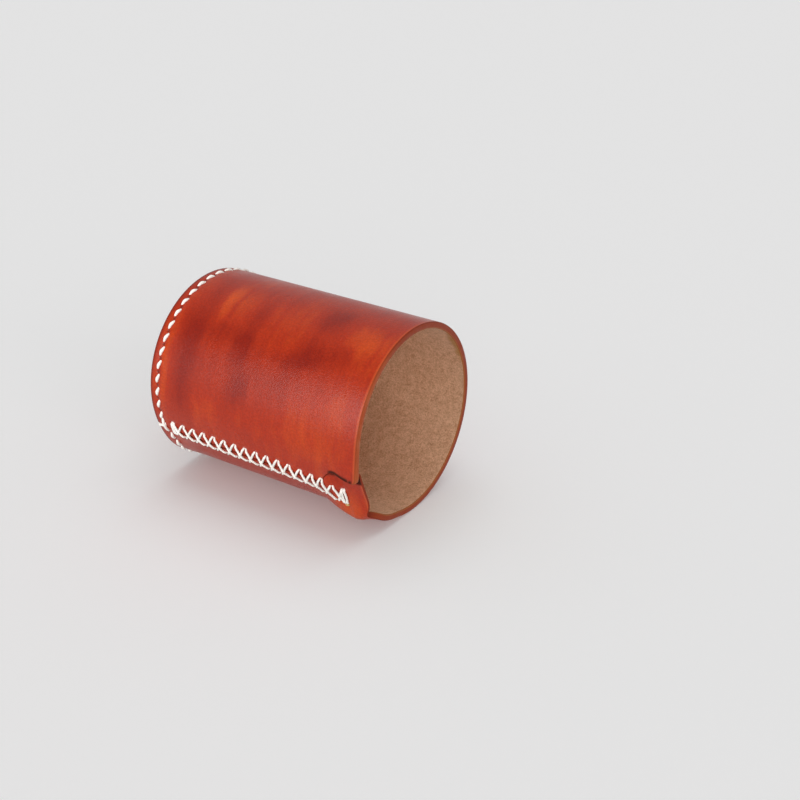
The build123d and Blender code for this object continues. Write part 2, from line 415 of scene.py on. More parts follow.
def make_sheet():
    """Outer and inner face of the sheet, the direction from face to face, and its pattern."""
    rows = row_heights()
    left_end = -radius * math.sin(math.radians(left_angle))
    right_end = radius * math.sin(math.radians(right_angle))
    left_shares = column_shares(28.0, 12.0)
    right_shares = column_shares(36.0, 14.0)
    lx, lz = end_block(left_outline, left_notch, left_corner, rows, left_end, left_shares)
    rx, rz = end_block(right_outline, right_notch, right_corner, rows, right_end, right_shares)
    crest = np.exp(-(((rx - crest_x) / crest_width) ** 2))
    rz = rz - crest_dip * crest * smooth((rz - height + 9.0) / 8.5)
    back_angles = np.radians(np.linspace(right_angle, 360 - left_angle, 162))[1:-1]
    turn, bz = np.meshgrid(back_angles, rows)
    left_points, _ = front_face(left_front, lx, lz)
    right_points, _ = front_face(right_front, rx, rz)
    back_facing = np.stack([np.sin(turn), -np.cos(turn), np.zeros_like(turn)], -1)
    back_points = back_facing * (radius - stitch_groove(bz))[..., None]
    back_points[..., 2] = bz
    outer = joined(right_points, back_points, left_points)

    # The thickness follows slowly turning directions, and the tongue is thinned
    _, left_inward = front_face(left_front, lx, lz, inner_softness)
    _, right_inward = front_face(right_front, rx, rz, inner_softness, tongue_soft_heights)
    inward = joined(right_inward, back_facing, left_inward)
    thin = smooth((rz - height + 11.0) / 9.0) * (1.0 - smooth((rx - 13.0) / 6.0))
    thickness = joined(leather - tongue_skive * thin, np.full_like(bz, leather), np.full_like(lz, leather))
    inner = outer - inward * thickness[..., None]

    # The pattern holds the girth, the height and the painted shade of the crease where the tongue tucks in
    right_turn = np.arctan2(right_points[..., 0], -right_points[..., 1]) - 2 * math.pi
    left_turn = np.arctan2(left_points[..., 0], -left_points[..., 1])
    girths = joined(right_turn, turn - 2 * math.pi, left_turn) * radius
    # Painted shade: the tongue darkens where it tucks under the left end, and the left end darkens along its
    # own edge above the corner
    right_crease_shade = crease_shade_nearness(rx, rz, 0.8, 2.8)
    left_crease_shade = crease_shade_nearness(lx, lz, 0.7, 0.0) * (1.0 - smooth((lz - height + 2.6) / 2.0))
    crease_shade = joined(right_crease_shade, np.zeros_like(bz), left_crease_shade)
    return outer, inner, inward, np.stack([girths, outer[..., 2], crease_shade], -1)


def border(index):
    """The border of a grid of vertices, once round."""
    return np.concatenate([index[0, :-1], index[:-1, -1], index[-1, :0:-1], index[:0:-1, 0]])


def grid_quads(index):
    return np.stack([index[:-1, :-1], index[:-1, 1:], index[1:, 1:], index[1:, :-1]], -1).reshape(-1, 4)


def edge_profile():
    """How far out and, as a share of the thickness, how deep the rings of an edge lie."""
    rings = []
    corner = edge_round / leather
    for turn in (25, 50, 75):
        swing = math.radians(turn)
        rings.append((edge_round * math.sin(swing), corner * (1 - math.cos(swing))))
    for share in (0.0, 0.25, 0.5, 0.75, 1.0):
        rings.append((edge_round + edge_dome * math.sin(math.pi * share), corner + (1 - 2 * corner) * share))
    for out, depth in rings[2::-1]:
        rings.append((out, 1 - depth))
    return rings


def new_object(name, data):
    thing = bpy.data.objects.new(name, data)
    bpy.context.scene.collection.objects.link(thing)
    return thing


def finished(mesh):
    """A piece of the mesh's name at the origin, with smooth faces that point outwards."""
    shape = bmesh.new()
    shape.from_mesh(mesh)
    bmesh.ops.recalc_face_normals(shape, faces=shape.faces)
    for face in shape.faces:
        face.smooth = True
    shape.to_mesh(mesh)
    shape.free()
    return new_object(mesh.name, mesh)


def lay_finishes(mesh, pattern, across, finishes):
    """Gives leather its finishes, with the pattern and the depth in the cut that they use."""
    laid = mesh.attributes.new("pattern", "FLOAT_VECTOR", "POINT")
    laid.data.foreach_set("vector", pattern.astype(np.float32).ravel())
    depth = mesh.attributes.new("across", "FLOAT", "POINT")
    depth.data.foreach_set("value", across.astype(np.float32))
    for finish in finishes:
        mesh.materials.append(finish)


def make_wall(finishes):
    """The rolled sheet: outer face, its inner face and the rounded edge that joins them."""
    sheet = make_sheet()
    outer, inner, inward, pattern = [values.reshape(-1, 3) for values in sheet]
    count = len(outer)
    index = np.arange(count).reshape(sheet[0].shape[:2])
    loop = border(index)
    rim = outer[loop]
    ahead = unit(np.roll(rim, -1, 0) - np.roll(rim, 1, 0))
    out = unit(np.cross(ahead, inward[loop]))
    for _ in range(3):
        out = unit(out + 0.5 * (np.roll(out, 1, 0) + np.roll(out, -1, 0)))
    vertices = [outer, inner]
    patterns = [pattern, pattern]
    across = [np.zeros(count), np.ones(count)]
    rings = [loop]
    for k, (bulge, depth) in enumerate(edge_profile()):
        vertices.append(rim + out * bulge + (inner[loop] - rim) * depth)
        patterns.append(pattern[loop])
        across.append(np.full(len(loop), depth))
        rings.append(2 * count + k * len(loop) + np.arange(len(loop)))
    rings.append(loop + count)
    quads = [grid_quads(index), grid_quads(index)[:, ::-1] + count]
    for near, far in zip(rings, rings[1:]):
        quads.append(np.stack([near, far, np.roll(far, -1), np.roll(near, -1)], -1))
    kinds = [np.full(len(block), min(k, 2), np.int32) for k, block in enumerate(quads)]
    mesh = bpy.data.meshes.new("leather_wall")
    mesh.from_pydata(in_frame(np.concatenate(vertices)).tolist(), [], np.concatenate(quads).tolist())
    lay_finishes(mesh, np.concatenate(patterns), np.concatenate(across), finishes)
    mesh.polygons.foreach_set("material_index", np.concatenate(kinds))
    return finished(mesh)


# Base disc
disc_sides = 180
disc_round = 0.5
flat_rings = 15
edge_rings = 9
disc_pattern_shift = 400.0


def make_disc(finishes):
    """The round base: domed edge, flesh side up inside the cup, grain side down."""
    half = (disc_top - disc_bottom) / 2
    flat = np.linspace(4.0, disc_radius - 0.6, flat_rings)
    profile = [(0.0, disc_bottom)] + [(reach, disc_bottom) for reach in flat]
    for swing in np.linspace(-math.pi / 2, math.pi / 2, edge_rings):
        reach = disc_radius - disc_round + disc_round * math.cos(swing)
        profile.append((reach, disc_bottom + half + half * math.sin(swing)))
    profile += [(reach, disc_top) for reach in flat[::-1]] + [(0.0, disc_top)]
    shape = bmesh.new()
    rings = []
    for reach, z in profile:
        angles = [360 * i / disc_sides for i in range(disc_sides if reach else 1)]
        rings.append([shape.verts.new(in_frame(round_point(angle, reach, z))) for angle in angles])
    for row, (near, far) in enumerate(zip(rings, rings[1:])):
        for i in range(disc_sides):
            j = (i + 1) % disc_sides
            corners = [near[i % len(near)], near[j % len(near)], far[j % len(far)], far[i % len(far)]]
            face = shape.faces.new(dict.fromkeys(corners))
            face.material_index = 0 if row < flat_rings else 2 if row <= flat_rings + edge_rings else 1
    mesh = bpy.data.meshes.new("base_leather")
    shape.to_mesh(mesh)
    shape.free()
    places = np.array([vertex.co for vertex in mesh.vertices]) / METRE
    pattern = (places + disc_pattern_shift) * (1, 1, 0)
    across = (places[:, 2] - disc_bottom) / (disc_top - disc_bottom)
    lay_finishes(mesh, pattern, across, finishes)
    return finished(mesh)


# Nodes
class Tree:
    """A node tree with short calls for new nodes, which give back one of their outputs."""

    def __init__(self, group):
        self.group = group

    def add(self, kind, inputs=None, output=0, **settings):
        """A new node with its settings, and with values or links on its inputs."""
        made = self.group.nodes.new(kind)
        for name, value in settings.items():
            setattr(made, name, value)
        for place, value in (inputs or {}).items():
            if isinstance(value, bpy.types.NodeSocket):
                self.group.links.new(value, made.inputs[place])
            else:
                made.inputs[place].default_value = value
        return made.outputs[output] if len(made.outputs) else None

    def laid(self, name, output="Vector"):
        return self.add("ShaderNodeAttribute", output=output, attribute_name=name)

    def place(self):
        return self.add("ShaderNodeTexCoord", output="Object")

    def maths(self, operation, first, second=0.0, clamp=False):
        return self.add("ShaderNodeMath", {0: first, 1: second}, operation=operation, use_clamp=clamp)

    def plus(self, first, second):
        return self.maths("ADD", first, second)

    def minus(self, first, second):
        return self.maths("SUBTRACT", first, second)

    def times(self, first, second):
        return self.maths("MULTIPLY", first, second)

    def total(self, start, *terms):
        """A value with others added to it, each times its weight."""
        for value, weight in terms:
            start = self.plus(start, self.times(value, weight))
        return start

    def vector(self, operation, first, second=(0.0, 0.0, 0.0)):
        output = "Value" if operation in ("LENGTH", "DOT_PRODUCT") else "Vector"
        return self.add("ShaderNodeVectorMath", {0: first, 1: second}, output, operation=operation)

    def split(self, vector):
        """The x, y and z of a vector."""
        return self.add("ShaderNodeSeparateXYZ", {0: vector}).node.outputs[:]

    def ramp(self, value, low, high, start=0.0, end=1.0):
        """A value eased from start to end as it goes from low to high."""
        inputs = {"Value": value, 1: low, 2: high, 3: start, 4: end}
        return self.add("ShaderNodeMapRange", inputs, interpolation_type="SMOOTHSTEP")

    def noise(self, vector, scale, detail=2.0, roughness=0.5, output="Fac"):
        inputs = {"Vector": vector, "Scale": scale, "Detail": detail, "Roughness": roughness}
        return self.add("ShaderNodeTexNoise", inputs, output)

    def wander(self, vector, scale, detail, reach):
        """A place that strays from its own, by up to half of the reach."""
        stray = self.vector("SUBTRACT", self.noise(vector, scale, detail, output="Color"), (0.5, 0.5, 0.5))
        return self.vector("ADD", vector, self.vector("MULTIPLY", stray, reach))

    def spot(self, place, middle, reach):
        """Falls from 1 in the middle of an oval to 0 at its reach, in girth and height."""
        offset = self.vector("SUBTRACT", place, (*middle, 0.0))
        share = self.vector("DIVIDE", offset, (*reach, 1.0))
        return self.ramp(self.vector("LENGTH", share), 0.15, 1.0, 1.0, 0.0)

    def blend(self, share, first, second, kind="MIX"):
        inputs = {0: share, 6: first, 7: second}
        return self.add("ShaderNodeMix", inputs, 2, data_type="RGBA", blend_type=kind)

    def colours(self, value, steps):
        """A colour from a scale of positions and colours."""
        scale = self.add("ShaderNodeValToRGB", {"Fac": value}).node
        for element, step in zip(scale.color_ramp.elements, (steps[0], steps[-1])):
            element.position, element.color = step
        for position, colour in steps[1:-1]:
            scale.color_ramp.elements.new(position).color = colour
        return scale.outputs["Color"]

    def bump(self, strength, distance, height):
        return self.add("ShaderNodeBump", {"Strength": strength, "Distance": distance, "Height": height})

    def surface(self, colour, rough, others):
        """The shader at the end of a material."""
        inputs = {"Base Color": colour, "Roughness": rough, **others}
        self.add("ShaderNodeOutputMaterial", {"Surface": self.add("ShaderNodeBsdfPrincipled", inputs)})


def emptied(owner):
    """The node tree of a material or of the world, with nothing in it yet."""
    owner.use_nodes = True
    owner.node_tree.nodes.clear()
    return Tree(owner.node_tree)


def new_finish(name):
    finish = bpy.data.materials.new(name)
    return finish, emptied(finish)


def girth(angle):
    return math.radians(angle) * radius


# Cloudy patches of the dye: angle, height, reach round the girth, reach up, and strength,
# which is below zero for dark ones
cloud_depth = 0.46
dye_clouds = (
    (-62, 17, 62, 10, -0.5),
    (-69, 17, 13, 13, -0.45),
    (-80, 47, 19, 7, -0.6),
    (-48, 50, 22, 8, -0.5),
    (-72, 38, 6, 22, -0.4),
    (-102, 82, 14, 10, -0.75),
    (-74, 82, 9, 15, -0.7),
    (-67, 70, 7, 15, -0.4),
    (-90, 77, 36, 8, -0.35),
    (-78, 96, 9, 9, -0.4),
    (-63, 45, 11, 9, -0.55),
    (-45, 19, 27, 12, -0.5),
    (-41, 50, 13, 10, -0.3),
    (-55, 70, 14, 14, -0.3),
    (-55, 54, 25, 46, -0.3),
    (-94, 27, 18, 5, 0.8),
    (-96, 36, 14, 8, 0.3),
    (-22, 33, 13, 9, 0.3),
    (-60, 65, 62, 8, 0.15),
    (-92, 102, 13, 13, 0.75),
    (-29, 92, 27, 24, 0.3),
    (-38, 7.5, 40, 3, 0.4),
    # The light patch on the tongue by the mouth is partly paler dye and partly painted light, where the
    # tongue faces the lamps
    (-340, 104, 20, 13, 0.85),
)


def make_polished():
    finish, tree = new_finish("polished_rust_leather")
    laid = tree.laid("pattern")
    along, up, crease_shade = tree.split(laid)
    pattern = tree.vector("MULTIPLY", laid, (1.0, 1.0, 0.0))
    place = tree.place()

    # The dye lies in clouds drawn out round the girth
    drifted = tree.wander(pattern, 0.07, 3.0, (9.0, 5.0, 0.0))
    clouds = tree.noise(tree.vector("MULTIPLY", drifted, (0.022, 0.05, 1.0)), 1.0, 3.0, 0.55)
    blotches = tree.noise(tree.vector("MULTIPLY", pattern, (0.09, 0.13, 1.0)), 1.0, 4.0, 0.6)
    streaks = tree.noise(tree.vector("MULTIPLY", drifted, (0.035, 0.26, 1.0)), 1.0, 4.0, 0.6)
    tone = tree.total(-0.135, (clouds, 0.5), (blotches, 0.35), (streaks, 0.42))
    for angle, level, wide, tall, strength in dye_clouds:
        cloud = tree.spot(drifted, (girth(angle), level), (wide, tall))
        tone = tree.total(tone, (cloud, cloud_depth * strength))
    deep = (0.05, (0.245, 0.012, 0.0033, 1))
    middle = (0.5, (0.385, 0.0255, 0.0043, 1))
    pale = (0.98, (0.575, 0.069, 0.0067, 1))
    colour = tree.colours(tone, (deep, middle, pale))

    # Pores and a fine grain
    cells = {"Vector": place, "Scale": 2100.0}
    grain = tree.add("ShaderNodeTexVoronoi", cells, "Distance", feature="F1")
    pores = tree.noise(place, 900.0, 4.0, 0.65)
    speckle = tree.ramp(tree.noise(place, 1100.0), 0.3, 0.7, 0.88, 1.08)
    tint = tree.add("ShaderNodeCombineColor", {0: speckle, 1: speckle, 2: speckle})
    colour = tree.blend(1.0, colour, tint, "MULTIPLY")

    # Darker along the foot, a painted highlight along the rim, and painted shade in the slits of the
    # stitches and in the crease where the tongue tucks in
    foot = tree.ramp(up, 0.5, 2.2, 0.55, 0.0)
    colour = tree.blend(foot, colour, (0.12, 0.012, 0.006, 1))
    # Painted highlight: the last millimetre below the rim is lighter, where the rounded edge meets the light
    rim_highlight = tree.ramp(up, height - 1.7, height - 0.9, 0.0, 0.4)
    colour = tree.blend(rim_highlight, colour, (0.62, 0.11, 0.025, 1))
    # The slits of the stitches: a dent in the bump, and painted shade that darkens their colour
    half_step = math.pi * radius / stitch_count
    gap_x = tree.maths("PINGPONG", tree.minus(along, girth(stitch_turn)), half_step)
    gap_x = tree.minus(gap_x, half_step)
    climb = tree.ramp(along, girth(-360), girth(climb_full - 360), 0.0, climb_height)
    fallen = tree.ramp(along, girth(climb_fall - 360), girth(climb_end - 360), 1.0, 0.0)
    climb = tree.times(climb, fallen)
    gap_z = tree.maths("DIVIDE", tree.minus(up, tree.plus(climb, stitch_height)), 1.1)
    squares = tree.plus(tree.maths("POWER", gap_x, 2.0), tree.maths("POWER", gap_z, 2.0))
    slit_and_shade = tree.ramp(tree.maths("SQRT", squares), 0.3, 1.0, 0.55, 0.0)
    colour = tree.blend(slit_and_shade, colour, (0.045, 0.008, 0.005, 1))
    # Painted shade in the crease where the tongue tucks under the left end; the crease is also rougher
    tuck_shade = tree.maths("MULTIPLY", crease_shade, 1.1, clamp=True)
    colour = tree.blend(tuck_shade, colour, (0.055, 0.008, 0.003, 1))

    gloss = tree.ramp(tree.noise(place, 60.0, 3.0), 0.3, 0.7, 0.27, 0.34)
    rough = tree.total(gloss, (crease_shade, 0.65))
    relief = tree.total(0.0, (grain, 0.35), (pores, 0.6), (slit_and_shade, -2.0))
    normal = tree.bump(0.65, 0.00023, relief)
    tree.surface(colour, rough, {"Normal": normal, "Specular IOR Level": 0.34, "IOR": 1.45})
    return finish


def make_flesh():
    finish, tree = new_finish("tan_flesh_side")
    place = tree.place()
    pattern = tree.laid("pattern")
    fibres = tree.noise(place, 1300.0, 4.0, 0.65)
    nap = tree.noise(place, 330.0, 3.0, 0.65)
    patches = tree.noise(place, 30.0, 3.0)
    tone = tree.total(0.0, (fibres, 0.62), (nap, 0.3), (patches, 0.15))
    colour = tree.colours(tone, ((0.42, (0.55, 0.285, 0.158, 1)), (0.64, (0.88, 0.55, 0.345, 1))))

    # Dye that ran over the rim on one side
    strayed = tree.wander(pattern, 0.35, 2.0, (5.0, 3.5, 0.0))
    run = tree.spot(strayed, (girth(-169), height + 0.3), (20.0, 5.2))
    run = tree.ramp(run, 0.0, 0.9, 0.0, 0.75)
    colour = tree.blend(run, colour, (0.47, 0.21, 0.035, 1))
    normal = tree.bump(0.6, 0.0004, tree.total(fibres, (nap, 0.7)))
    tree.surface(colour, 0.95, {"Normal": normal, "Specular IOR Level": 0.1, "Sheen Weight": 0.12})
    return finish


def make_burnished():
    finish, tree = new_finish("burnished_edge")
    across = tree.laid("across", "Fac")
    pattern = tree.laid("pattern")
    along, up, _ = tree.split(pattern)
    place = tree.place()
    layers = tree.noise(place, 320.0, 3.0, 0.6)
    patches = tree.ramp(tree.noise(place, 70.0, 3.0), 0.35, 0.65)
    bright = tree.blend(patches, (0.42, 0.075, 0.02, 1), (0.50, 0.115, 0.035, 1))
    pale = tree.ramp(along, girth(-105), girth(-62))
    colour = tree.blend(pale, (0.30, 0.045, 0.014, 1), bright)
    line = tree.ramp(across, 0.03, 0.2, 0.5, 0.0)
    colour = tree.blend(line, colour, (0.17, 0.018, 0.007, 1))
    inside = tree.ramp(across, 0.7, 0.98, 0.0, 0.45)
    colour = tree.blend(inside, colour, (0.46, 0.20, 0.06, 1))

    # Only the rim shows the cut in its own colour; on the tongue, in the seam and at the foot the edge is
    # darker burnish with painted shade, less dark between the foot and the first lace, where the seam closes
    tongue = tree.ramp(along, girth(-346), girth(-338), 0.75, 1.0)
    shown = tree.times(tree.ramp(up, height - 3.0, height - 1.0), tongue)
    closed = tree.times(tree.ramp(up, 1.0, 2.5), tree.ramp(up, 8.0, 14.0, 1.0, 0.0))
    dark_burnish_and_shade = tree.blend(closed, (0.18, 0.018, 0.0065, 1), (0.34, 0.03, 0.007, 1))
    colour = tree.blend(shown, dark_burnish_and_shade, colour)
    dull = tree.ramp(shown, 0.0, 1.0, 0.5, 0.0)
    rough = tree.plus(tree.ramp(layers, 0.3, 0.7, 0.32, 0.5), dull)
    normal = tree.bump(0.3, 0.0002, layers)
    tree.surface(colour, rough, {"Normal": normal, "Specular IOR Level": 0.15})
    return finish


def make_thread_finish():
    finish, tree = new_finish("waxed_cream_thread")
    place = tree.place()
    fibres = tree.noise(place, 2600.0, 3.0, 0.6)
    soil = tree.ramp(tree.noise(place, 180.0, 3.0, 0.6), 0.58, 0.85, 0.0, 0.35)
    colour = tree.blend(tree.ramp(fibres, 0.3, 0.7), (0.90, 0.86, 0.79, 1), (1.0, 0.985, 0.94, 1))
    colour = tree.blend(soil, colour, (0.62, 0.48, 0.34, 1))
    normal = tree.bump(0.3, 0.0001, fibres)
    tree.surface(colour, 0.55, {"Normal": normal, "Specular IOR Level": 0.35, "Sheen Weight": 0.15})
    return finish


# Thread, by Geometry Nodes
def new_tree(name, labels):
    """A geometry tree and its inputs: geometry, numbers by their labels, and a finish."""
    group = bpy.data.node_groups.new(name, "GeometryNodeTree")
    kinds = {"Geometry": "Geometry"} | dict.fromkeys(labels, "Float") | {"Finish": "Material"}
    for label, kind in kinds.items():
        group.interface.new_socket(label, in_out="INPUT", socket_type="NodeSocket" + kind)
    group.interface.new_socket("Geometry", in_out="OUTPUT", socket_type="NodeSocketGeometry")
    tree = Tree(group)
    return tree, tree.add("NodeGroupInput").node.outputs


PROFILE_POINTS = 12
STRANDS = 3


def thread_skin(tree, curve, given, scale=1.0):
    """Mesh round a curve with the section of a thread of twisted strands."""
    length = tree.add("GeometryNodeSplineParameter", output="Length")
    turn = tree.maths("DIVIDE", tree.times(length, 2 * math.pi), given["Twist length"])
    twisted = tree.add("GeometryNodeSetCurveTilt", {"Curve": curve, "Tilt": turn})
    section = {"Resolution": PROFILE_POINTS, "Radius": tree.times(given["Thread diameter"], 0.5)}
    circle = tree.add("GeometryNodeCurvePrimitiveCircle", section)
    index = tree.add("GeometryNodeInputIndex")
    wave = tree.maths("COSINE", tree.times(index, 2 * math.pi * STRANDS / PROFILE_POINTS))
    dent = tree.times(tree.minus(1.0, wave), tree.times(given["Strand depth"], 0.5))
    lobes = {0: tree.add("GeometryNodeInputPosition"), "Scale": tree.minus(1.0, dent)}
    lobed = tree.add("ShaderNodeVectorMath", lobes, operation="SCALE")
    profile = tree.add("GeometryNodeSetPosition", {"Geometry": circle, "Position": lobed})
    skin = {"Curve": twisted, "Profile Curve": profile, "Scale": scale, "Fill Caps": True}
    return tree.add("GeometryNodeCurveToMesh", skin)


def close_tree(tree, mesh, given):
    """Smooth faces, real geometry and the material, at the end of a tree."""
    mesh = tree.add("GeometryNodeSetShadeSmooth", {"Geometry": mesh})
    mesh = tree.add("GeometryNodeRealizeInstances", {"Geometry": mesh})
    mesh = tree.add("GeometryNodeSetMaterial", {"Geometry": mesh, "Material": given["Finish"]})
    tree.add("NodeGroupOutput", {0: mesh})
    return tree.group


def thread_tree():
    """A twisted thread along every curve."""
    tree, given = new_tree("twisted thread", ("Thread diameter", "Strand depth", "Twist length", "Step"))
    steps = {"Curve": given["Geometry"], "Length": given["Step"]}
    path = tree.add("GeometryNodeResampleCurve", steps, mode="LENGTH")
    return close_tree(tree, thread_skin(tree, path, given), given)


def stitch_tree():
    """A lens-shaped stitch on every point of a path round the cup's axis."""
    labels = ("Stitch length", "Thread diameter", "Strand depth", "Twist length", "Slant", "Facing")
    tree, given = new_tree("saddle stitches", labels)
    half = tree.times(given["Stitch length"], 0.5)
    start = tree.add("ShaderNodeCombineXYZ", {"Y": tree.times(half, -1.0)})
    end = tree.add("ShaderNodeCombineXYZ", {"Y": half})
    line = tree.add("GeometryNodeCurvePrimitiveLine", {"Start": start, "End": end})
    line = tree.add("GeometryNodeResampleCurve", {"Curve": line, "Count": 17}, mode="COUNT")
    share = tree.add("GeometryNodeSplineParameter", output="Factor")
    crown = tree.maths("POWER", tree.maths("SINE", tree.times(share, math.pi)), 0.7)
    rise = tree.times(tree.minus(crown, 0.85), tree.times(given["Thread diameter"], 0.95))
    lift = tree.add("ShaderNodeCombineXYZ", {"X": rise})
    arched = tree.add("GeometryNodeSetPosition", {"Geometry": line, "Offset": lift})
    stitch = thread_skin(tree, arched, given, tree.total(0.3, (crown, 0.7)))
    x, y, _ = tree.split(tree.add("GeometryNodeInputPosition"))
    euler = {"X": given["Slant"], "Y": given["Facing"], "Z": tree.maths("ARCTAN2", y, x)}
    rotation = tree.add("FunctionNodeEulerToRotation", {0: tree.add("ShaderNodeCombineXYZ", euler)})
    places = {"Points": given["Geometry"], "Instance": stitch, "Rotation": rotation}
    return close_tree(tree, tree.add("GeometryNodeInstanceOnPoints", places), given)


def thread_values(diameter, strand_depth, twist, finish):
    """What every thread's tree is given, from lengths in millimetres."""
    return {
        "Thread diameter": diameter * METRE,
        "Strand depth": strand_depth,
        "Twist length": twist * METRE,
        "Finish": finish,
    }


def grown(name, source, group, values):
    """The plain mesh that a tree makes from a source, in metres about the cup's axis."""
    holder = new_object(name + "_path", source)
    growth = holder.modifiers.new("growth", "NODES")
    growth.node_group = group
    for item in group.interface.items_tree:
        if item.in_out == "INPUT" and item.name in values:
            growth[item.identifier] = values[item.name]
    bpy.context.view_layer.update()
    seen = holder.evaluated_get(bpy.context.evaluated_depsgraph_get())
    mesh = bpy.data.meshes.new_from_object(seen)
    mesh.name = name
    holder.modifiers.remove(growth)
    bpy.data.objects.remove(holder)
    return mesh


def thread_paths(name, paths):
    """A curve of straight runs through each list of points, in metres."""
    curve = bpy.data.curves.new(name, "CURVE")
    curve.dimensions = "3D"
    for path in paths:
        spline = curve.splines.new("POLY")
        spline.points.add(len(path) - 1)
        for point, place in zip(spline.points, np.asarray(path) * METRE):
            point.co = (*place, 1.0)
    return curve


# Seam lacing
def seam_skin(x, z):
    """Points of the outer face beside the seam that a thread lies on, and their directions."""
    on_right = (x > left_x) | (z > notch_z)
    right_points, _ = front_face(right_front, x, z)
    left_points, _ = front_face(left_front, x, z)
    _, normals = front_face(right_front, x, z, thread_softness, tongue_soft_heights)
    return np.where(on_right[:, None], right_points, left_points), normals


def down_hole(hole, side):
    """Points down the hole on its upper (1) or lower (-1) side."""
    depths = np.array([0.4, 1.5, 2.6, leather + lace_radius])
    points, normals = seam_skin(hole[:1], hole[1:] + side * hole_half)
    return points - normals * depths[:, None]


def over_leather(start, end, crest, sides, bow=0.0):
    """Points of a thread that comes up one hole, runs over the leather and goes down another."""
    shares = np.linspace(0.04, 0.96, 21)
    x = start[0] + (end[0] - start[0]) * shares
    first_z, last_z = start[1] + sides[0] * hole_half, end[1] + sides[1] * hole_half
    z = first_z + (last_z - first_z) * shares + bow * np.sin(math.pi * shares)
    points, normals = seam_skin(x, z)
    landing = smooth(np.minimum(shares, 1 - shares) / 0.12)
    hump = np.exp(-(((shares - 0.5) / 0.16) ** 2))
    rise = lace_sink + lace_radius - lace_press
    lift = rise * landing - lace_sink + (crest - lace_radius) * hump
    laid = points + normals * lift[:, None]
    return [*down_hole(start, sides[0])[::-1], *laid, *down_hole(end, sides[1])]


def behind_leather(start, end, side):
    """Points of a run of thread along the inner face between the holes of a pair."""
    shares = np.linspace(0.06, 0.94, 9)
    x, z = start[:, None] + (end - start)[:, None] * shares
    points, normals = seam_skin(x, z + side * behind_shift)
    return list(points - normals * (leather + lace_radius))


def lacing_paths():
    """The two threads that cross over the seam, each doubled into a bar at both ends."""
    high = lace_thread * 0.8
    low = lace_thread * 0.3
    first_left, first_right = laces[0]
    last_left, last_right = laces[-1]
    over = over_leather(first_left, first_right, lace_radius, (-1, -1), -0.15)
    over += behind_leather(first_right, first_left, -1)
    under = over_leather(first_left, first_right, lace_radius, (1, 1), 0.15)
    for (left, right), (next_left, next_right) in zip(laces, laces[1:]):
        over += over_leather(left, next_right, high, (1, -1)) + behind_leather(next_right, next_left, 1)
        under += over_leather(right, next_left, low, (1, -1)) + behind_leather(next_left, next_right, -1)
    under += over_leather(last_right, last_left, lace_radius, (-1, -1), -0.3)

    # The other thread ends at the top of its last hole
    over += over_leather(last_left, last_right, lace_radius, (1, 1), 0.5)[:-3]
    return [over, under]


def make_lacing(thread):
    """The lacing, with a bead of melted thread at its last hole."""
    paths = thread_paths("lacing_lines", lacing_paths())
    values = thread_values(lace_thread, 0.17, 4.0, thread) | {"Step": 0.3 * METRE}
    mesh = grown("cream_lacing", paths, thread_tree(), values)
    melted, tree = new_finish("melted_thread_end")
    tree.surface((0.52, 0.33, 0.13, 1), 0.3, {})
    mesh.materials.append(melted)
    last_hole = laces[-1][1]
    points, normals = seam_skin(last_hole[:1] + 0.5, last_hole[1:])
    place = Matrix.Translation(Vector(points[0] + normals[0] * 0.3) * METRE)
    shape = bmesh.new()
    shape.from_mesh(mesh)
    sizes = Matrix.Diagonal((*bead_sizes, 1.0))
    bead = bmesh.ops.create_icosphere(shape, subdivisions=3, radius=METRE, matrix=place @ sizes)
    for face in {face for vertex in bead["verts"] for face in vertex.link_faces}:
        face.material_index = 1
    shape.to_mesh(mesh)
    shape.free()
    mesh.transform(Matrix.Translation(axis_place))
    return finished(mesh)


# Base stitching
def beside_seam(angle):
    """1 just right of the seam, falling to 0 on the left of it and further round."""
    fallen = smooth((angle - climb_fall) / (climb_end - climb_fall))
    return float(smooth(angle / climb_full) * (1 - fallen))


def wall_radius(angle):
    ridge = radius / math.cos(math.radians(max(flank_angle - abs(angle), 0.0))) - radius
    swell = float(foot_bulge(radius * math.sin(math.radians(angle)), stitch_height))
    proud = climb_proud * beside_seam(angle)
    return radius + ridge * float(ridge_share(stitch_height)) + (swell if abs(angle) < 90 else 0.0) + proud


def stitch_rise(angle):
    """Height of the stitch row, which climbs a little right of the seam."""
    return stitch_height + climb_height * beside_seam(angle)


stitch_angles = [i * 360 / stitch_count - 180 + stitch_turn for i in range(stitch_count)]


def ring_of_points(name, places):
    """Vertices at the middles of the stitches, from their angle, radius and height."""
    points = np.array([round_point(*place) for place in places]) * METRE
    mesh = bpy.data.meshes.new(name)
    mesh.from_pydata(points.tolist(), [], [])
    return mesh


# Turn of thread over the lower edge, as how far out and how high it lies
foot_turn = (
    (-1.4, 4.7),
    (0.2, 4.2),
    (0.4, 3.2),
    (0.35, 1.9),
    (0.0, 0.95),
    (-0.9, 0.66),
    (-2.2, 0.75),
    (-2.9, 1.6),
)
bridge_start = -7.6
bridge_sweep = 10.2


def make_foot_loop(thread):
    """The turn of thread where the sheet's ends meet, and a long stitch across them."""
    front = wall_radius(0.0)
    path = [(-1.3 - 0.2 * up, -(front + out), up) for out, up in foot_turn]
    bridge = []
    for share in np.linspace(0, 1, 15):
        angle = bridge_start + bridge_sweep * share
        reach = wall_radius(angle) - 1.0 + 1.5 * math.sin(math.pi * share) ** 0.4
        bridge.append(round_point(angle, reach, 4.3 + 0.7 * share))
    values = thread_values(1.45, 0.12, 5.0, thread) | {"Step": 0.25 * METRE}
    return grown("foot_loop", thread_paths("foot_loop_line", [path, bridge]), thread_tree(), values)


